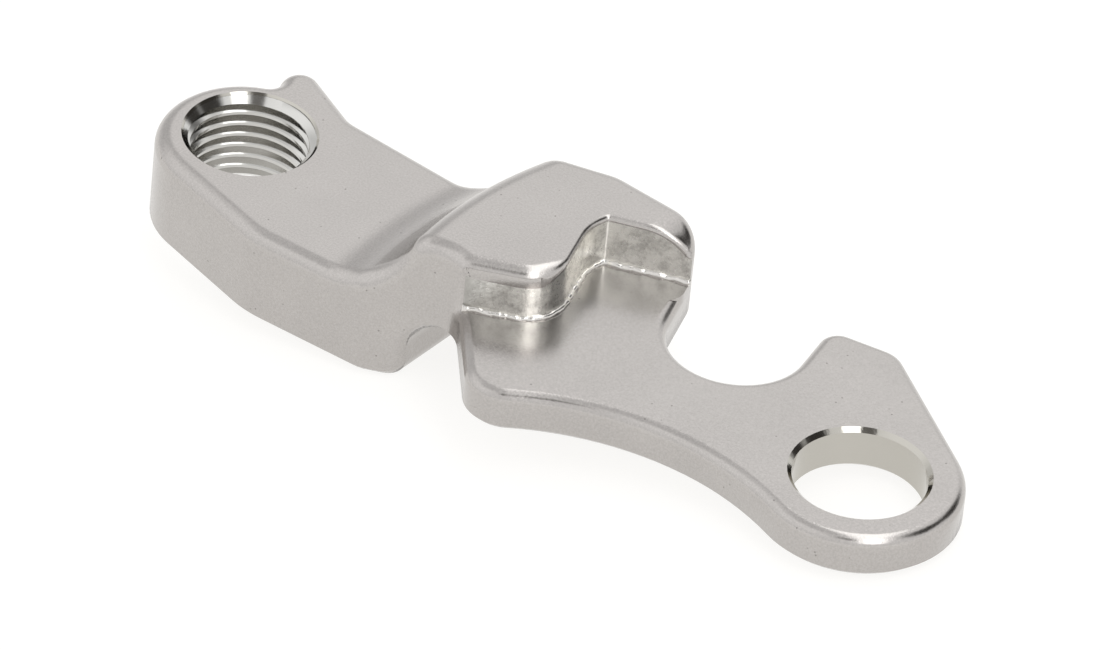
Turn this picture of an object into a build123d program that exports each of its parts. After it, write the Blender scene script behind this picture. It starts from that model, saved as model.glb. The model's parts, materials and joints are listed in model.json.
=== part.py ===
from build123d import *
import os
from math import asin, atan2, cos, hypot, pi, radians, sin, sqrt, tan

# Rear derailleur hanger: one forged aluminium piece, machined at its seat and its two holes.
# Millimetres. The origin is the centre of the threaded hole on the boss's outer face, where the
# derailleur seats. +X runs along the hanger to the frame bolt hole, +Z points away from the wheel.

# Holes: an M10 x 1 thread for the derailleur and a plain hole for the frame bolt
hole_spacing = 58.1
thread_dia = 10.0
thread_mouth_dia = 10.34
bolt_dia = 10.0
bolt_mouth_dia = 10.56
countersink_angle = 60.0

# Levels: the plate lies above the boss's underside, and the block stands above the plate's seat
boss_thickness = 7.9
plate_rise = 5.4
plate_thickness = 3.55
block_step = 4.25

# Side view: the ramp from boss to block, whose crest bows towards the boss, and the arch under the neck
ramp_foot_x = 17.8
ramp_crest_x = 20.4
ramp_foot_radius = 7.0
ramp_crest_radius = 2.2
ramp_bow_radius = 34.0
ramp_bow_y = -0.5
arch_x = 20.9
arch_radius = 2.5
arch_edge_radius = 1.5

# Plan, boss: a round end a little off the thread's axis, a bulging front and the stop for the derailleur
boss_radius = 6.9
boss_offset_x = 0.05
boss_offset_y = -0.35
belly_x = 8.3
belly_front = 9.05
belly_radius = 8.2
shoulder_x = 17.2
shoulder_front = 8.3
shoulder_radius = 2.9
stop_x = -1.55
stop_back = 9.25
stop_radius = 1.6
stop_root_radius = 0.9
stop_slope_x = 4.6
stop_slope_radius = 2.8
boss_back = 7.0

# Plan, neck and block, with the large round in side view that ends the block on the right
waist_x = 23.65
waist_front = 5.75
waist_radius = 3.1
block_back = 10.65
block_left_x = 23.3
block_left_radius = 3.8
block_right_x = 35.6
block_right_radius = 3.4
block_end_radius = 4.2
block_end_overhang = 0.4
neck_back_x = 14.45
neck_back_radius = 6.0

# Plan, plate: front corner, hollow front edge, bolt ring, horn and axle notch
corner_x = 32.3
corner_front = 12.0
corner_radius = 3.25
front_hollow_radius = 22.55
ring_radius = 7.75
horn_outer_x = 51.0
horn_outer_back = 12.95
horn_outer_radius = 2.45
horn_inner_x = 47.8
horn_inner_back = 12.25
horn_inner_radius = 1.65
notch_x = 41.8
notch_y = 6.05
notch_radius = 5.2

# Plan, seat wall: from the front it rounds a nose, hollows back to a tight corner and follows the rim
nose_x = 27.3
nose_y = -1.1
nose_radius = 3.3
nose_wall_angle = 209.3
hollow_x = 33.4
hollow_y = 4.4
hollow_radius = 4.3
seat_corner_angle = 163.0
seat_corner_radius = 0.3
rim_angle = 23.5

# Forging: the rough step, which stands off the finished seat wall, and the eased upper and lower edges
forge_allowance = 0.03
forge_angle = 57.0
step_corner_radius = 1.8
upper_round = 1.3
plate_round = 0.9
lower_bevel = 0.6

boss_bottom = -boss_thickness
plate_bottom = boss_bottom + plate_rise
seat_z = plate_bottom + plate_thickness
block_top = seat_z + block_step
ramp_bow_x = ramp_crest_x + ramp_bow_radius
reach = 2 * hole_spacing
same_point = 1e-4


def plan(*rounds):
    """Closed face whose edge follows each round in turn, joined by common tangents.

    A round is (x, y, radius): a positive radius turns left about (x, y), a negative one turns right,
    and a radius of 0 is a plain corner."""
    def touch(i, heading):
        x, y, r = rounds[i]
        return Vector(x + r * sin(heading), y - r * cos(heading))

    headings, leaves, arrives = [], [], []
    for i, (x1, y1, r1) in enumerate(rounds):
        x2, y2, r2 = rounds[(i + 1) % len(rounds)]
        lean = (r1 - r2) / hypot(x2 - x1, y2 - y1)
        heading = atan2(y2 - y1, x2 - x1) + asin(max(-1.0, min(1.0, lean)))
        leave, arrive = touch(i, heading), touch((i + 1) % len(rounds), heading)
        touching = (arrive - leave).length < same_point
        headings.append(heading)
        leaves.append(arrive if touching else leave)
        arrives.append(arrive)

    edges = []
    for i, (_, _, r) in enumerate(rounds):
        turn = (headings[i] - headings[i - 1]) % (2 * pi) - (2 * pi if r < 0 else 0)
        if r != 0:
            middle = touch(i, headings[i - 1] + turn / 2)
            edges.append(ThreePointArc(arrives[i - 1], middle, leaves[i]))
        if (arrives[i] - leaves[i]).length > 0:
            edges.append(Line(leaves[i], arrives[i]))
    return make_face(edges)


def hollow_between(x1, y1, r1, x2, y2, r2, radius):
    """Round of the given radius that touches two rounds from their right-hand side."""
    gap = hypot(x2 - x1, y2 - y1)
    along = (gap**2 + (r1 + radius) ** 2 - (r2 + radius) ** 2) / (2 * gap)
    off = sqrt((r1 + radius) ** 2 - along**2)
    ux, uy = (x2 - x1) / gap, (y2 - y1) / gap
    return (x1 + along * ux + off * uy, y1 + along * uy - off * ux, -radius)


def hanger_plan():
    """Outer edge of the forging, seen from above, anticlockwise from the boss's round end."""
    boss = (boss_offset_x, boss_offset_y, boss_radius)
    belly = (belly_x, belly_radius - belly_front, belly_radius)
    shoulder = (shoulder_x, shoulder_radius - shoulder_front, shoulder_radius)
    waist = (waist_x, -waist_front - waist_radius, -waist_radius)
    corner = (corner_x, corner_radius - corner_front, corner_radius)
    ring = (hole_spacing, 0.0, ring_radius)
    front_hollow = hollow_between(*corner, *ring, front_hollow_radius)
    horn_outer = (horn_outer_x, horn_outer_back - horn_outer_radius, horn_outer_radius)
    horn_inner = (horn_inner_x, horn_inner_back - horn_inner_radius, horn_inner_radius)
    notch = (notch_x, notch_y, -notch_radius)
    block_right = (block_right_x - block_right_radius, block_back - block_right_radius, block_right_radius)
    block_left = (block_left_x + block_left_radius, block_back - block_left_radius, block_left_radius)
    neck_back = (neck_back_x, boss_back + neck_back_radius, -neck_back_radius)
    stop_slope = (stop_slope_x, boss_back + stop_slope_radius, -stop_slope_radius)
    stop = (stop_x, stop_back - stop_radius, stop_radius)
    stop_root = hollow_between(*stop, *boss, stop_root_radius)
    return plan(boss, belly, shoulder, waist, corner, front_hollow, ring, horn_outer, horn_inner, notch,
                block_right, block_left, neck_back, stop_slope, stop, stop_root)


def ramp_side():
    """Half section of everything under the boss's top, the ramp and the block's top, from the bow's axis."""
    half_turn = tan(atan2(block_top, ramp_crest_x - ramp_foot_x) / 2)
    foot_x = ramp_foot_x - ramp_bow_x - ramp_foot_radius * half_turn
    crest_x = ramp_crest_x - ramp_bow_x + ramp_crest_radius * half_turn
    foot = (foot_x, ramp_foot_radius, -ramp_foot_radius)
    crest = (crest_x, block_top - ramp_crest_radius, ramp_crest_radius)
    return plan((-reach, -reach, 0), (0, -reach, 0), (0, block_top, 0), crest, foot, (-reach, 0, 0))


def block_end_side():
    """Side view of everything under the block's top and the large round that ends it."""
    end_x = block_right_x + block_end_overhang
    end = (end_x - block_end_radius, block_top - block_end_radius, block_end_radius)
    return plan((-reach, -reach, 0), (end_x, -reach, 0), end, (-reach, block_top, 0))


def arch_side():
    """Side view of everything over the boss's underside, the neck's arch and the plate's underside."""
    arch_edge = (arch_x - arch_edge_radius, boss_bottom + arch_edge_radius, arch_edge_radius)
    arch = (arch_x + arch_radius, plate_bottom - arch_radius, -arch_radius)
    return plan((-reach, boss_bottom, 0), arch_edge, arch, (reach, plate_bottom, 0), (reach, reach, 0),
                (-reach, reach, 0))


def far_point(x, y, angle):
    """Plain corner well outside the part, in a direction given in degrees."""
    return (x + reach * cos(radians(angle)), y + reach * sin(radians(angle)), 0)


def step_outline(allowance, *back):
    """Area in front of the step from block to plate: its back rounds, its nose and its front wall."""
    nose = (nose_x, nose_y, -nose_radius - allowance)
    return plan(*back, nose, far_point(nose_x, nose_y, nose_wall_angle), (reach, -reach, 0))


def facing(body, up):
    """Faces of a body that look up (1) or down (-1)."""
    return [f for f in body.faces() if up * f.normal_at().Z > 0.05]


def outer_edges(faces):
    """Edges around a group of faces, leaving out the edges that two of them share."""
    edges = [e for f in faces for e in f.edges()]
    return [e for e in edges if sum(e.is_same(other) for other in edges) == 1]


def hole(low, high, dia, mouth_dia):
    """Through hole on the z axis with a countersunk mouth at each end."""
    sink = (mouth_dia - dia) / 2 / tan(radians(countersink_angle / 2))
    wall, mouth = dia / 2, mouth_dia / 2
    lower = [(0, low), (mouth, low), (wall, low + sink)]
    upper = [(wall, high - sink), (mouth, high), (0, high)]
    return revolve(Plane.XZ * make_face(Polyline(*lower, *upper, close=True)), Axis.Z)


# Forged block: boss, neck and raised block, as far as the rough step round the nose and straight on
outline = hanger_plan()
step = step_outline(forge_allowance, far_point(nose_x + nose_radius, nose_y, forge_angle))
block_plan = outline - step
drawn = outline.vertices() + step.vertices()
crossings = [v for v in block_plan.vertices() if min(v.distance_to(d) for d in drawn) > same_point]
block_plan = fillet(crossings, step_corner_radius)
block = extrude(Plane.XY.offset(-reach) * block_plan, 2 * reach)
block &= extrude(Plane.XZ * arch_side(), reach, both=True)
block &= Pos(ramp_bow_x, ramp_bow_y, 0) * revolve(Plane.XZ * ramp_side(), Axis.Z)
block &= extrude(Plane.XZ * block_end_side(), reach, both=True)
block = fillet(outer_edges(facing(block, 1)), upper_round)

# Forged plate: from the waist to the bolt ring
plate = extrude(Plane.XY.offset(plate_bottom) * outline, plate_thickness)
plate -= Pos(waist_x - reach, 0, 0) * Box(2 * reach, 2 * reach, 2 * reach)
plate_edges = [e for e in outer_edges(facing(plate, 1)) if e.center().X > waist_x + same_point]
plate = fillet(plate_edges, plate_round)

hanger = block + plate
low_ends = [f for f in hanger.faces().filter_by(Axis.X) if f.center().Z < plate_bottom]
arch_end = [f for f in low_ends if f.normal_at().X > 0]
hanger = chamfer(outer_edges(facing(hanger, -1) + arch_end), lower_bevel)

# Machining: the seat with its curved wall, then the two holes
seat_corner_reach = hollow_radius - seat_corner_radius
seat_corner_x = hollow_x + seat_corner_reach * cos(radians(seat_corner_angle))
seat_corner_y = hollow_y + seat_corner_reach * sin(radians(seat_corner_angle))
rim_far = far_point(seat_corner_x, seat_corner_y, rim_angle)
seat_corner = (seat_corner_x, seat_corner_y, seat_corner_radius)
hollow = (hollow_x, hollow_y, hollow_radius)
hanger -= extrude(Plane.XY.offset(seat_z) * step_outline(0, rim_far, seat_corner, hollow), reach)
hanger -= hole(boss_bottom, 0, thread_dia, thread_mouth_dia)
hanger -= Pos(hole_spacing, 0, 0) * hole(plate_bottom, seat_z, bolt_dia, bolt_mouth_dia)

os.makedirs("parts", exist_ok=True)
export_step(hanger, "parts/hanger.step")
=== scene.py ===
# %% [markdown]
# A bicycle's rear derailleur hanger is one small aluminium forging with a satin, tumbled skin. The wall
# beside its seat, the threaded hole and the frame bolt hole are machined into it.
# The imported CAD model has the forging's true shape, so it is loaded as a fixed frame. Blender adds what the
# solid leaves out: soft edges, the finishes, the thread's turns and the burr at the foot of the wall.

# %% Load the frame
import json
import math

import bpy
from mathutils import Matrix, Vector


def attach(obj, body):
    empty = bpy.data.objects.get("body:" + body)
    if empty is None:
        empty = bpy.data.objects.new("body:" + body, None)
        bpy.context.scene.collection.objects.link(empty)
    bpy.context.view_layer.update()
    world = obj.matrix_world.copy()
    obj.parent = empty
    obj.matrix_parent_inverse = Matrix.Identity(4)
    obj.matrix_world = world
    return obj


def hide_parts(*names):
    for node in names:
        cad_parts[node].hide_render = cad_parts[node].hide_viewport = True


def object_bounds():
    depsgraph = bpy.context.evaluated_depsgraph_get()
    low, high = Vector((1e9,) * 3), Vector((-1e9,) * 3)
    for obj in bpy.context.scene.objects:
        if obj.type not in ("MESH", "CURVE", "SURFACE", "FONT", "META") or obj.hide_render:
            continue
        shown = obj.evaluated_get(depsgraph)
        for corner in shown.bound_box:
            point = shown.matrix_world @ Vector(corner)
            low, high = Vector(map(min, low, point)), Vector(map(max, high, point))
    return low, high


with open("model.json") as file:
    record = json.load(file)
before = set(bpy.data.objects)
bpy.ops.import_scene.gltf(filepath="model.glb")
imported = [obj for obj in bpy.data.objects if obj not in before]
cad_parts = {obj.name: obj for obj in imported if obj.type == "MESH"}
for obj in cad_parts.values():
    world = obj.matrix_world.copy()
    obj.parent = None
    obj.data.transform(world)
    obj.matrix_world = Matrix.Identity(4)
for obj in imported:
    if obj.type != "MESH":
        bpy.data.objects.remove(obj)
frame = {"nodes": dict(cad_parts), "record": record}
cad_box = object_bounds()
hanger = frame["nodes"]["hanger"]
mounts = {m["name"]: m for m in frame["record"]["mounts"]}
MM = 0.001
print("hanger, mm:", [round(x / MM, 2) for x in cad_box[1] - cad_box[0]])

# %% [markdown]
# Blender's operators work on whatever is selected, so three helpers keep that in hand. One makes an object
# the only selected one, one runs a few edit-mode steps on it, and one adds a modifier and applies it. The
# steps that come up again and again get names of their own.

# %% Helpers for modelling
JOIN_MM = 0.001


def only(obj):
    """Leaves this object as the one that is selected and active."""
    bpy.ops.object.select_all(action="DESELECT")
    obj.select_set(True)
    bpy.context.view_layer.objects.active = obj


def in_edit_mode(obj, *steps):
    """Runs steps, each an operator and its settings, on the object's mesh."""
    only(obj)
    bpy.ops.object.mode_set(mode="EDIT")
    for operator, settings in steps:
        operator(**settings)
    bpy.ops.object.mode_set(mode="OBJECT")


def apply_modifier(obj, kind, **settings):
    """Adds a modifier with its settings and applies it."""
    only(obj)
    modifier = obj.modifiers.new(kind.lower(), kind)
    for name, value in settings.items():
        setattr(modifier, name, value)
    bpy.ops.object.modifier_apply(modifier=modifier.name)


SELECT_ALL = (bpy.ops.mesh.select_all, {"action": "SELECT"})
DESELECT_ALL = (bpy.ops.mesh.select_all, {"action": "DESELECT"})
MERGE = (bpy.ops.mesh.remove_doubles, {"threshold": JOIN_MM * MM})
DROP_SLIVERS = (bpy.ops.mesh.dissolve_degenerate, {"threshold": JOIN_MM * MM})
TURN_OUTWARDS = (bpy.ops.mesh.normals_make_consistent, {"inside": False})

# %% [markdown]
# Every finish is bare aluminium, and what changes is how it was cut. A few more helpers keep the materials
# short: one turns an sRGB hex colour to the linear values that shaders use, one adds a node with its
# settings and its links in a single call, and one gives a pattern its real size.

# %% Helpers for materials
def linear(hex_colour):
    """Linear RGBA of an sRGB colour such as "#B0ACA8"."""
    parts = [int(hex_colour[i:i + 2], 16) / 255 for i in (1, 3, 5)]
    return [c / 12.92 if c <= 0.04045 else ((c + 0.055) / 1.055) ** 2.4 for c in parts] + [1.0]


def add_node(tree, kind, settings=None, **inputs):
    """Adds a node. An input is a value or another node's output.

    In an input's name, _ stands for a space, and _6 is socket 6.
    """
    node = tree.nodes.new(kind)
    for name, value in (settings or {}).items():
        setattr(node, name, value)
    for name, value in inputs.items():
        socket = node.inputs[int(name[1:])] if name[1:].isdigit() else node.inputs[name.replace("_", " ")]
        if isinstance(value, bpy.types.NodeSocket):
            tree.links.new(value, socket)
        else:
            socket.default_value = value
    return node


def new_material(name):
    """An empty node material, with its tree and its output node."""
    material = bpy.data.materials.new(name)
    material.use_nodes = True
    material.node_tree.nodes.clear()
    return material, material.node_tree, material.node_tree.nodes.new("ShaderNodeOutputMaterial")


def per_mm(size_mm):
    """Texture scale that gives features of this size, on coordinates in metres."""
    return 1 / (size_mm * MM)


# %% [markdown]
# The hanger's skin has small dark pits that gather in clusters. Each cell of a Voronoi pattern can hold one
# dot, and a dot is drawn only where the cell's random value is under a share. The share follows a slow
# noise, so some places have hardly any pits and others are full of them.

# %% Pits in the skin
PIT_CELL_MM = 0.55
PIT_RADIUS_MM = 0.095
PIT_CORE = 0.4
CLEAN_CLOUD, PITTED_CLOUD = 0.54, 0.68
FEWEST_PITTED, MOST_PITTED = 0.01, 0.5


def pits(tree, place, cloud):
    """Mask that is 1 in the core of a pit and 0 between the pits."""
    rim = PIT_RADIUS_MM / PIT_CELL_MM
    cells = add_node(tree, "ShaderNodeTexVoronoi", Vector=place, Scale=per_mm(PIT_CELL_MM))
    dot = add_node(tree, "ShaderNodeMapRange", Value=cells.outputs["Distance"],
                   From_Min=PIT_CORE * rim, From_Max=rim, To_Min=1.0, To_Max=0.0)
    share = add_node(tree, "ShaderNodeMapRange", Value=cloud, From_Min=CLEAN_CLOUD, From_Max=PITTED_CLOUD,
                     To_Min=FEWEST_PITTED, To_Max=MOST_PITTED)
    lot = add_node(tree, "ShaderNodeSeparateColor", Color=cells.outputs["Color"])
    chosen = add_node(tree, "ShaderNodeMath", {"operation": "LESS_THAN"},
                      _0=lot.outputs[0], _1=share.outputs[0])
    return add_node(tree, "ShaderNodeMath", {"operation": "MULTIPLY"},
                    _0=dot.outputs[0], _1=chosen.outputs[0]).outputs[0]


# %% [markdown]
# Tumbling leaves forged aluminium with a fine even grain and a satin sheen. It is a metal of a fairly low
# roughness. One fine noise gives the grain and its speckle, and the slow one the cloudy changes of tone. The
# real grain is too fine to show in the render, so it is drawn about two pixels wide.

# %% Tumbled aluminium
GRAIN_MM = 0.16
GRAIN_DEPTH_MM = 0.03
PIT_DEPTH_MM = 0.036
GRAIN_BUMP = 0.2
CLOUD_MM = 5.0
CLOUD_SHARE = 0.3
DARK_GRAIN, LIGHT_GRAIN, PIT_TONE = "#A19E9B", "#BEBAB7", "#8A8683"
SMOOTHEST, ROUGHEST = 0.16, 0.28


def tumbled_aluminium():
    """Satin, light grey and slightly warm."""
    material, tree, output = new_material("tumbled_aluminium")
    place = add_node(tree, "ShaderNodeTexCoord").outputs["Object"]
    grain, cloud = (add_node(tree, "ShaderNodeTexNoise", Vector=place, Scale=per_mm(size_mm),
                             Detail=3.0).outputs["Fac"] for size_mm in (GRAIN_MM, CLOUD_MM))
    pit = pits(tree, place, cloud)
    mottle = add_node(tree, "ShaderNodeMath", {"operation": "MULTIPLY_ADD"},
                      _0=cloud, _1=CLOUD_SHARE, _2=grain)
    tone = add_node(tree, "ShaderNodeMix", {"data_type": "RGBA"}, Factor=mottle.outputs[0],
                    _6=linear(DARK_GRAIN), _7=linear(LIGHT_GRAIN))
    pitted = add_node(tree, "ShaderNodeMix", {"data_type": "RGBA"}, Factor=pit,
                      _6=tone.outputs[2], _7=linear(PIT_TONE))
    rough = add_node(tree, "ShaderNodeMapRange", Value=grain, To_Min=SMOOTHEST, To_Max=ROUGHEST)
    relief = add_node(tree, "ShaderNodeMath", {"operation": "MULTIPLY_ADD"},
                      _0=pit, _1=-PIT_DEPTH_MM / GRAIN_DEPTH_MM, _2=grain)
    bump = add_node(tree, "ShaderNodeBump", Strength=GRAIN_BUMP, Distance=GRAIN_DEPTH_MM * MM,
                    Height=relief.outputs[0])
    shader = add_node(tree, "ShaderNodeBsdfPrincipled", Base_Color=pitted.outputs[2], Metallic=1.0,
                      Roughness=rough.outputs[0], Normal=bump.outputs[0])
    tree.links.new(shader.outputs[0], output.inputs[0])
    return material


# %% [markdown]
# The milled wall isn't evenly bright, and its darker reflection is painted into its colour as shade: soft
# painted blotches, and painted shade that grows towards its left end. Both are a second tone that is mixed
# with the metal's own: a noise gives the blotches, and the place along X gives the dark end.

# %% Painted shade on the milled wall
SHADED_END_MM, UNSHADED_FROM_MM = 24.8, 27.8
BLOTCH_MM = 1.3
BLOTCH_RAGGED = 0.75
BLOTCH_HEART, BLOTCH_RIM = 0.28, 0.55
LEAST_UNSHADED = 0.15


def with_painted_shade(tree, place, bright, dark):
    """Tone of the metal with painted shade on it: dark blotches and a dark left end."""
    along = add_node(tree, "ShaderNodeSeparateXYZ", Vector=place)
    unshaded_along_x = add_node(tree, "ShaderNodeMapRange", {"interpolation_type": "SMOOTHSTEP"},
                     Value=along.outputs["X"], From_Min=SHADED_END_MM * MM, From_Max=UNSHADED_FROM_MM * MM)
    painted_shade = add_node(tree, "ShaderNodeTexNoise", Vector=place, Scale=per_mm(BLOTCH_MM), Detail=5.0,
                      Roughness=BLOTCH_RAGGED)
    unshaded_by_noise = add_node(tree, "ShaderNodeMapRange", Value=painted_shade.outputs["Fac"],
                    From_Min=BLOTCH_HEART, From_Max=BLOTCH_RIM, To_Min=LEAST_UNSHADED, To_Max=1.0)
    shown = add_node(tree, "ShaderNodeMath", {"operation": "MULTIPLY"},
                     _0=unshaded_along_x.outputs[0], _1=unshaded_by_noise.outputs[0])
    return add_node(tree, "ShaderNodeMix", {"data_type": "RGBA"}, Factor=shown.outputs[0],
                    _6=linear(dark), _7=linear(bright)).outputs[2]


# %% [markdown]
# A cutting tool leaves aluminium brighter than tumbling does, with marks of its own. One function makes all
# the machined finishes, because they differ only in tone, gloss and the size of the marks, which are drawn
# coarser than real ones so that they show. A boring tool chatters, which draws the marks out along the hole,
# so its noise is stretched along Z.

# %% Machined aluminium
MARK_SPREAD = 0.3
MARK_BUMP = 0.3


def machined_aluminium(name, colour, roughness, mark_mm, depth_mm, stretch=1.0, painted_shade=None):
    """Bright bare metal with the marks that a tool left, drawn out along Z where it chattered."""
    material, tree, output = new_material(name)
    place = add_node(tree, "ShaderNodeTexCoord").outputs["Object"]
    drawn = add_node(tree, "ShaderNodeMapping", Vector=place, Scale=(1, 1, 1 / stretch))
    marks = add_node(tree, "ShaderNodeTexNoise", Vector=drawn.outputs[0], Scale=per_mm(mark_mm),
                     Detail=4.0).outputs["Fac"]
    rough = add_node(tree, "ShaderNodeMapRange", Value=marks, To_Min=roughness * (1 - MARK_SPREAD),
                     To_Max=roughness * (1 + MARK_SPREAD))
    bump = add_node(tree, "ShaderNodeBump", Strength=MARK_BUMP, Distance=depth_mm * MM, Height=marks)
    # The milled wall's tone carries painted shade, in blotches and at its left end.
    tone = with_painted_shade(tree, place, colour, painted_shade) if painted_shade else linear(colour)
    shader = add_node(tree, "ShaderNodeBsdfPrincipled", Base_Color=tone, Metallic=1.0,
                      Roughness=rough.outputs[0], Normal=bump.outputs[0])
    tree.links.new(shader.outputs[0], output.inputs[0])
    return material


# %% [markdown]
# The milled wall is the brightest and the least glossy of the machined faces. The bored holes and the tapped
# thread are nearly mirrors, and the torn metal of the burr glitters on its crumbs.

# %% The finishes
tumbled = tumbled_aluminium()
# The milled wall's dark tone, in its blotches and at its left end, is painted shade.
milled = machined_aluminium("milled_aluminium", "#F5F4EF", roughness=0.3, mark_mm=0.2, depth_mm=0.08,
                            painted_shade="#A09E9A")
bored = machined_aluminium("bored_aluminium", "#BBB8B1", roughness=0.1, mark_mm=0.35, depth_mm=0.02,
                           stretch=6)
tapped = machined_aluminium("tapped_aluminium", "#CCCBC8", roughness=0.12, mark_mm=0.3, depth_mm=0.004)
torn = machined_aluminium("torn_aluminium", "#D2CFCB", roughness=0.2, mark_mm=0.25, depth_mm=0.04)
print("finishes:", [m.name for m in (tumbled, milled, bored, tapped, torn)])

# %% [markdown]
# The CAD mesh is cut along every seam of the solid, and all its flat faces are split into triangles.

# %% The forging as one skin
FLAT_ANGLE = 0.05
forging = bpy.data.objects.new("forged_hanger", hanger.data.copy())
bpy.context.scene.collection.objects.link(forging)
only(forging)
bpy.ops.mesh.customdata_custom_splitnormals_clear()
in_edit_mode(forging, SELECT_ALL, MERGE,
             (bpy.ops.mesh.dissolve_limited, {"angle_limit": math.radians(FLAT_ANGLE)}))
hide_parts("hanger")
forging.data.materials.clear()
for finish in (tumbled, milled, bored):
    forging.data.materials.append(finish)
print("forging, vertices:", len(hanger.data.vertices), "to", len(forging.data.vertices))

# %% [markdown]
# A finish belongs to a face, so the faces are sorted by what made them. The holes' walls are found by their
# distance from the holes' axes, which the record's mounts give. The milled wall is the set of upright faces
# that stand on the seat. Everything else is tumbled skin.

# %% Tell the machined faces from the tumbled ones
TUMBLED, MILLED, BORED = 0, 1, 2
HOLE_MARGIN_MM = 0.3
WALL_MARGIN_MM = 0.1
LEVEL_NORMAL_Z = 0.9
UPRIGHT_NORMAL_Z = 0.05
NEAR = 0.012 * MM
seat_z = mounts["frame_seat"]["pos_m"][2]
holes = [mounts["derailleur_thread"], mounts["frame_bolt_hole"]]


def in_a_hole(face):
    """Whether a face is the wall or the countersink of one of the two holes."""
    away = [math.dist(face.center[:2], m["pos_m"][:2]) - m["dims"]["r_mm"] * MM for m in holes]
    return min(away) < HOLE_MARGIN_MM * MM and abs(face.normal.z) < LEVEL_NORMAL_Z


def on_the_seat_wall(face):
    """Whether a face is part of the upright wall that stands on the seat."""
    lowest = min(forging.data.vertices[i].co.z for i in face.vertices)
    rises = face.center.z > seat_z + WALL_MARGIN_MM * MM
    return abs(face.normal.z) < UPRIGHT_NORMAL_Z and abs(lowest - seat_z) < NEAR and rises


for face in forging.data.polygons:
    face.material_index = BORED if in_a_hole(face) else MILLED if on_the_seat_wall(face) else TUMBLED
print("milled faces:", sum(f.material_index == MILLED for f in forging.data.polygons))

# %% [markdown]
# Both holes have countersunk rims that shine like mirrors. In the solid they are steep, and what the real
# ones reflect fits a slope of 45 degrees better. The rings of edges are already there, so each inner ring is
# moved along the hole and each mouth is scaled about the hole's axis. The steep angle is measured from that
# axis, and a rim's width across it.

# %% Open the countersinks to 45 degrees
STEEP_ANGLE = 30.0
THREAD_RIM_MM = 0.17
BOLT_RIM_MM = 0.28
OPENED_BOLT_RIM_MM = 0.33


def select_ring(hole, radius, height):
    """Leaves only the vertices at this radius from the hole's axis, and at this height, selected."""
    in_edit_mode(forging, (bpy.ops.mesh.select_mode, {"type": "VERT"}), DESELECT_ALL)
    for vertex in forging.data.vertices:
        away = math.dist(vertex.co[:2], hole["pos_m"][:2])
        vertex.select = abs(away - radius) < NEAR and abs(vertex.co.z - height) < NEAR


def open_countersinks(hole, rim_mm, wanted_mm):
    """Gives both rims of a hole a 45 degree slope of the wanted width."""
    bore = hole["dims"]["r_mm"] * MM
    rim, wanted = rim_mm * MM, wanted_mm * MM
    depth = rim / math.tan(math.radians(STEEP_ANGLE))
    scale = (bore + wanted) / (bore + rim)
    mouths = [v.co.z for v in forging.data.vertices
              if abs(math.dist(v.co[:2], hole["pos_m"][:2]) - bore - rim) < NEAR]
    for mouth_z, inward in ((max(mouths), -1), (min(mouths), 1)):
        select_ring(hole, bore, mouth_z + inward * depth)
        in_edit_mode(forging, (bpy.ops.transform.translate, {"value": (0, 0, inward * (wanted - depth))}))
        select_ring(hole, bore + rim, mouth_z)
        in_edit_mode(forging, (bpy.ops.transform.resize, {"value": (scale, scale, 1),
                                                         "center_override": hole["pos_m"]}))
        print("countersink of", hole["name"], "at z, mm:", round(mouth_z / MM, 2))


open_countersinks(mounts["derailleur_thread"], THREAD_RIM_MM, THREAD_RIM_MM)
open_countersinks(mounts["frame_bolt_hole"], BOLT_RIM_MM, OPENED_BOLT_RIM_MM)

# %% [markdown]
# The top edge of the wall isn't sharp: a narrow rounded strip runs along it and shows as a bright line. The
# edges where the two finishes meet give its place, and a bevel rounds them. The level edges are taken alone,
# because the wall's upright ends run out into the forging.

# %% Round the wall's upper edge
STRIP_MM = 0.42
STRIP_SEGMENTS = 3
STEEPEST = 0.9


def finishes_by_edge():
    """The finishes that meet at each edge."""
    found = {}
    for face in forging.data.polygons:
        for key in face.edge_keys:
            found.setdefault(key, set()).add(face.material_index)
    return found


def on_the_seat(edge):
    """Whether both ends of an edge lie at the seat's height."""
    return all(abs(forging.data.vertices[i].co.z - seat_z) < NEAR for i in edge.vertices)


def is_level(edge):
    """Whether an edge runs along the wall more than up it."""
    run = forging.data.vertices[edge.vertices[0]].co - forging.data.vertices[edge.vertices[1]].co
    return abs(run.z) < STEEPEST * run.length


def select_edges(chosen):
    """Leaves the edges that pass a test as the only selected ones."""
    in_edit_mode(forging, (bpy.ops.mesh.select_mode, {"type": "EDGE"}), DESELECT_ALL)
    for edge in forging.data.edges:
        edge.select = chosen(edge)


met = finishes_by_edge()
select_edges(lambda edge: met[edge.key] == {TUMBLED, MILLED} and is_level(edge) and not on_the_seat(edge))
in_edit_mode(forging, (bpy.ops.mesh.bevel, {"offset": STRIP_MM * MM, "segments": STRIP_SEGMENTS,
                                            "material": TUMBLED}), SELECT_ALL, MERGE, DROP_SLIVERS)
print("vertices with the rounded edge:", len(forging.data.vertices))

# %% [markdown]
# Shading decides which edges look cut and which look worn. Marking all edges by one angle would leave the
# lower bevels as flat strips, so the angle is wide on the tumbled skin and narrow in the holes. Weighted
# normals then take each shared normal from the larger face, and a narrow bevel shades as a round edge.

# %% Keep the cut edges sharp and round the worn ones
WORN_ANGLE = 50.0
BORED_ANGLE = 20.0
met = finishes_by_edge()
normals = {}
for face in forging.data.polygons:
    for key in face.edge_keys:
        normals.setdefault(key, []).append(face.normal.copy())


def is_cut(edge):
    """Whether a tool left this edge sharp."""
    turn = math.degrees(normals[edge.key][0].angle(normals[edge.key][-1]))
    return turn > (BORED_ANGLE if BORED in met[edge.key] else WORN_ANGLE)


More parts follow.
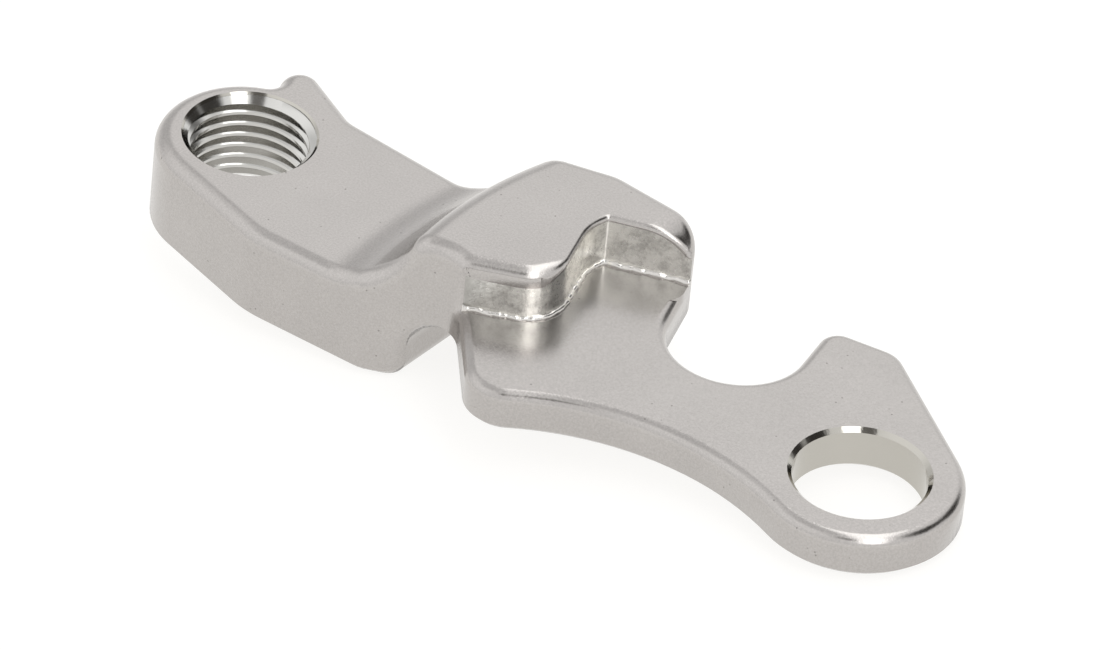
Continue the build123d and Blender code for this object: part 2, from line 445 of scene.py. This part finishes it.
only(forging)
bpy.ops.object.shade_smooth()
for edge in forging.data.edges:
    edge.use_edge_sharp = is_cut(edge)
apply_modifier(forging, "WEIGHTED_NORMAL", keep_sharp=True)
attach(forging, "root")
print("sharp edges:", sum(e.use_edge_sharp for e in forging.data.edges), "of", len(forging.data.edges))

# %% [markdown]
# A low ridge of torn metal, such as an end mill leaves where it meets the seat, runs along the foot of the
# wall. It follows the wall's S-shaped line, so that line is taken from the forging's own edges.

# %% The line of the burr
def longest_edge(mesh):
    """Length of a mesh's longest edge."""
    return max((mesh.vertices[a].co - mesh.vertices[b].co).length for a, b in mesh.edge_keys)


select_edges(lambda edge: met[edge.key] == {TUMBLED, MILLED} and on_the_seat(edge))
in_edit_mode(forging, (bpy.ops.mesh.duplicate, {}), (bpy.ops.mesh.separate, {"type": "SELECTED"}))
burr = next(o for o in bpy.context.selected_objects if o != forging)
burr.name = "cutter_burr"
print("edges at the foot:", len(burr.data.edges), "longest, mm:", round(longest_edge(burr.data) / MM, 2))

# %% [markdown]
# The line's edges have very different lengths. They are split until all are short, so that the crumbs come
# out alike along it. Then the line is turned to a curve, which gives it a round section, and back to a mesh,
# which a Displace modifier crumbles. Most of it is buried in the corner that it grows from.

# %% Shape the burr
BURR_RADIUS_MM = 0.32
BURR_STEP_MM = 0.12
CRUMB_MM = 0.9
CRUMB_DEPTH_MM = 0.34

while longest_edge(burr.data) > BURR_STEP_MM * MM:
    for edge in burr.data.edges:
        ends = [burr.data.vertices[i].co for i in edge.vertices]
        edge.select = (ends[0] - ends[1]).length > BURR_STEP_MM * MM
    in_edit_mode(burr, (bpy.ops.mesh.subdivide, {"number_cuts": 1}))

only(burr)
bpy.ops.object.convert(target="CURVE")
burr.data.bevel_depth = BURR_RADIUS_MM * MM
burr.data.bevel_resolution = 3
burr.data.use_fill_caps = True
bpy.ops.object.convert(target="MESH")
in_edit_mode(burr, SELECT_ALL, MERGE, TURN_OUTWARDS)
crumbs = bpy.data.textures.new("crumbs", "CLOUDS")
crumbs.noise_scale = CRUMB_MM * MM
crumbs.noise_depth = 3
apply_modifier(burr, "DISPLACE", texture=crumbs, texture_coords="LOCAL", strength=CRUMB_DEPTH_MM * MM)
bpy.ops.object.shade_smooth()
burr.data.materials.clear()
burr.data.materials.append(torn)
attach(burr, "root")
print("burr faces:", len(burr.data.polygons))

# %% [markdown]
# The derailleur's bolt turns in an M10 x 1 thread. In the solid the hole is plain, at the thread's outer
# diameter, so the turns are a helical ridge that stands on its wall. The ridge starts as one four-sided
# section, with the thread's radii at its crest and its root. The Screw modifier winds it up the hole, from
# below the boss to above it.

# %% The thread's turns
PITCH_MM = 1.0
CREST_MM = 4.459
ROOT_MM = 5.0
WALL_OVERLAP_MM = 0.01
EXTRA_TURNS = 3
SEGMENTS = 96
boss_bottom = cad_box[0].z
turns = int(-boss_bottom / MM / PITCH_MM) + EXTRA_TURNS
half_root = (PITCH_MM - PITCH_MM / 8) / 2
half_crest = PITCH_MM / 8
section = [(CREST_MM, -half_crest), (ROOT_MM - WALL_OVERLAP_MM, -half_root),
           (ROOT_MM - WALL_OVERLAP_MM, half_root), (CREST_MM, half_crest)]

bpy.ops.object.select_all(action="DESELECT")
bpy.ops.mesh.primitive_plane_add(size=1.0, location=(0, 0, 0))
thread = bpy.context.object
thread.name = "derailleur_thread"
for index, (radius, z) in zip(thread.data.polygons[0].vertices, section):
    thread.data.vertices[index].co = (radius * MM, 0, (z - PITCH_MM) * MM + boss_bottom)
in_edit_mode(thread, SELECT_ALL, (bpy.ops.mesh.delete, {"type": "ONLY_FACE"}))
apply_modifier(thread, "SCREW", axis="Z", angle=2 * math.pi, screw_offset=PITCH_MM * MM, iterations=turns,
               steps=SEGMENTS, render_steps=SEGMENTS, use_smooth_shade=False)
in_edit_mode(thread, SELECT_ALL, MERGE, DESELECT_ALL, (bpy.ops.mesh.select_non_manifold, {}),
             (bpy.ops.mesh.fill_holes, {"sides": len(section)}), SELECT_ALL, TURN_OUTWARDS)
print("turns wound:", turns, "faces:", len(thread.data.polygons))

# %% [markdown]
# A countersink's cutter takes the ends of a thread away, and the same is done here: a cone with the
# countersink's slope is subtracted at each end. The cones are turned by half a segment, so that their edges
# don't lie on the edges of the turns.

# %% Cut the thread's ends to the countersinks
SINK_ANGLE = 90.0
PLUG_REACH_MM = 3.0
FLANK_ANGLE = 20.0


def countersink_plug(face_z, up):
    """A cone whose side follows a countersink, with its wide end outside the boss."""
    reach = PLUG_REACH_MM * MM
    flare = reach * math.tan(math.radians(SINK_ANGLE / 2))
    low_end, high_end = ((ROOT_MM + THREAD_RIM_MM) * MM + turn * flare for turn in (-up, up))
    bpy.ops.mesh.primitive_cone_add(vertices=SEGMENTS, radius1=low_end, radius2=high_end, depth=2 * reach,
                                    location=(0, 0, face_z), rotation=(0, 0, math.pi / SEGMENTS))
    return bpy.context.object


for face_z, up in ((0.0, 1), (boss_bottom, -1)):
    plug = countersink_plug(face_z, up)
    apply_modifier(thread, "BOOLEAN", operation="DIFFERENCE", object=plug, solver="EXACT")
    bpy.data.objects.remove(plug)
in_edit_mode(thread, SELECT_ALL, MERGE, DROP_SLIVERS)
only(thread)
bpy.ops.object.shade_smooth_by_angle(angle=math.radians(FLANK_ANGLE))
thread.data.materials.clear()
thread.data.materials.append(tapped)
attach(thread, "root")
heights = [v.co.z / MM for v in thread.data.vertices]
print("thread faces:", len(thread.data.polygons), "z, mm:", round(min(heights), 2), round(max(heights), 2))

# %% [markdown]
# The hanger lies a little tipped: it touches the table with the boss's underside and with the far edge of
# the bolt ring, so the table's plane goes through those two places. The table is opal acrylic lit from
# below, as studios use for small parts, so that it stays white and shadows on it nearly vanish.

# %% Table
TABLE_SIZE = 4.0
OPAL_GLOW = 0.85
points = [v.co for v in hanger.data.vertices]
heel_x = max(p.x for p in points if p.z < boss_bottom + NEAR)
slope = min((p.z - boss_bottom) / (p.x - heel_x) for p in points if p.x > heel_x + MM)
bpy.ops.object.select_all(action="DESELECT")
bpy.ops.mesh.primitive_plane_add(size=TABLE_SIZE, location=(heel_x, 0, boss_bottom),
                                 rotation=(0, -math.atan(slope), 0))
table = bpy.context.object
table.name = "table"
opal, tree, output = new_material("backlit_opal_acrylic")
shader = add_node(tree, "ShaderNodeBsdfPrincipled", Base_Color=linear("#707070"), Roughness=0.6,
                  Emission_Color=linear("#FFFEFC"), Emission_Strength=OPAL_GLOW)
tree.links.new(shader.outputs[0], output.inputs[0])
table.data.materials.append(opal)
print("table slope, degrees:", round(math.degrees(math.atan(slope)), 2))

# %% [markdown]
# The photograph looks down at the hanger from the side of the plate's long edge, with the weak perspective of
# a long lens. The two round holes show as ellipses, and their places and shapes give the camera's direction,
# roll and distance. The lens is set by its focal length in pixels, and the thread's centre is placed at its
# own pixel.

# %% Camera
CAMERA_AZIMUTH = 35.796
CAMERA_ELEVATION = 38.241
CAMERA_ROLL = 5.911
CAMERA_DISTANCE = 0.895016
IMAGE_SIZE = (1100, 650)
FOCAL_PIXELS = 12000
THREAD_PIXEL = (250.392, 133.475)
az, el, roll = (math.radians(a) for a in (CAMERA_AZIMUTH, CAMERA_ELEVATION, CAMERA_ROLL))
back = Vector((math.sin(az) * math.cos(el), -math.cos(az) * math.cos(el), math.sin(el)))
level = Vector((math.cos(az), math.sin(az), 0))
upright = back.cross(level)
right = math.cos(roll) * level + math.sin(roll) * upright
up = math.cos(roll) * upright - math.sin(roll) * level
aside = (THREAD_PIXEL[0] - IMAGE_SIZE[0] / 2) / FOCAL_PIXELS * CAMERA_DISTANCE
above = (IMAGE_SIZE[1] / 2 - THREAD_PIXEL[1]) / FOCAL_PIXELS * CAMERA_DISTANCE
camera = bpy.data.objects.new("camera", bpy.data.cameras.new("camera"))
bpy.context.scene.collection.objects.link(camera)
place = back * CAMERA_DISTANCE - right * aside - up * above
camera.matrix_world = Matrix.Translation(place) @ Matrix((right, up, back)).transposed().to_4x4()
camera.data.sensor_fit = "HORIZONTAL"
camera.data.lens = FOCAL_PIXELS / IMAGE_SIZE[0] * camera.data.sensor_width
camera.data.clip_start = 0.01
camera.data.clip_end = 20.0
bpy.context.scene.camera = camera
print("lens, mm:", round(camera.data.lens, 1))

# %% [markdown]
# Metal shows what stands round it, and each edge of the hanger mirrors another part of the studio. A tent of
# white cloth with a few openings is the usual place for such a picture, so the world is a plain pale cloth
# with soft round patches on it. They are guessed from what the metal mirrors. Directions are azimuths from
# +X towards +Y, and elevations.

# %% Light tent
CLOTH_TONE = "#E8E8E8"
TENT_STRENGTH = 1.3
# Each patch: azimuth, elevation, the angles from its middle where it starts to fade and where it ends, tone.
PATCHES = {
    "dim cloth at the back left": (160, 38, 20, 50, "#CCCCCC"),
    "bright cloth on the left": (-140, 45, 10, 50, "#F8F8F8"),
    "dim cloth overhead": (-150, 76, 10, 32, "#D0D0D0"),
    "bright cloth behind": (118, 40, 8, 26, "#F6F6F6"),
    "opening on the right": (33, 41, 12, 22, "#383634"),
    "lower opening on the right": (66, 25, 10, 22, "#383634"),
    "opening above the camera": (-62, 54, 7, 11, "#6A6866"),
}
world = bpy.data.worlds.new("light_tent")
bpy.context.scene.world = world
world.use_nodes = True
tree = world.node_tree
tree.nodes.clear()
output = tree.nodes.new("ShaderNodeOutputWorld")
toward = add_node(tree, "ShaderNodeTexCoord").outputs["Generated"]


def direction(azimuth, elevation):
    """Unit vector, with the azimuth turned from +X towards +Y."""
    a, e = math.radians(azimuth), math.radians(elevation)
    return Vector((math.cos(a) * math.cos(e), math.sin(a) * math.cos(e), math.sin(e)))


def patch(cloth, azimuth, elevation, inner, outer, tone):
    """The tent's cloth with a round soft-edged patch of another tone on it."""
    facing = add_node(tree, "ShaderNodeVectorMath", {"operation": "DOT_PRODUCT"},
                      _0=toward, _1=direction(azimuth, elevation))
    mask = add_node(tree, "ShaderNodeMapRange", {"interpolation_type": "SMOOTHSTEP"},
                    Value=facing.outputs["Value"], From_Min=math.cos(math.radians(outer)),
                    From_Max=math.cos(math.radians(inner)))
    return add_node(tree, "ShaderNodeMix", {"data_type": "RGBA"}, Factor=mask.outputs[0], _6=cloth,
                    _7=linear(tone)).outputs[2]


cloth = linear(CLOTH_TONE)
for shape in PATCHES.values():
    cloth = patch(cloth, *shape)
sky = add_node(tree, "ShaderNodeBackground", Color=cloth, Strength=TENT_STRENGTH)
tree.links.new(sky.outputs[0], output.inputs[0])
print("patches on the tent:", list(PATCHES))

# %% [markdown]
# Two softboxes add to the tent's light. The one in front gives the white bars in the countersinks and in
# each turn of the thread, and the one overhead gives the bright line along the upper edges. They are area
# lights, because only a light with a real size and place makes a highlight with a clean edge.

# %% Softboxes
FRONT_DISTANCE = 0.5
FRONT_MIDDLE, FRONT_TOP, FRONT_FOOT = direction(-27, 42), direction(-20, 62), direction(-33, 22)
FRONT_SIZE = (0.37, 0.165)
FRONT_RADIANCE = 2.2
OVERHEAD_PLACE = (0.064, 0.043, 0.24)
OVERHEAD_ALONG = (-1, 1, 0)
OVERHEAD_SIZE = (0.24, 0.09)
OVERHEAD_RADIANCE = 1.55
DOWN = (0, 0, -1)


def softbox(name, place, along, facing, size, radiance):
    """A rectangular area light of an even brightness: its long side runs along one direction."""
    light = bpy.data.lights.new(name, "AREA")
    light.shape = "RECTANGLE"
    light.size, light.size_y = size
    light.energy = radiance * math.pi * size[0] * size[1]
    lamp = bpy.data.objects.new(name, light)
    bpy.context.scene.collection.objects.link(lamp)
    z = -Vector(facing).normalized()
    x = (Vector(along) - Vector(along).project(z)).normalized()
    lamp.matrix_world = Matrix.Translation(place) @ Matrix((x, z.cross(x), z)).transposed().to_4x4()
    lamp.visible_camera = False


softbox("front_softbox", FRONT_MIDDLE * FRONT_DISTANCE, FRONT_TOP - FRONT_FOOT, -FRONT_MIDDLE, FRONT_SIZE,
        FRONT_RADIANCE)
softbox("overhead_softbox", OVERHEAD_PLACE, OVERHEAD_ALONG, DOWN, OVERHEAD_SIZE, OVERHEAD_RADIANCE)
bpy.context.scene.view_settings.view_transform = "Standard"
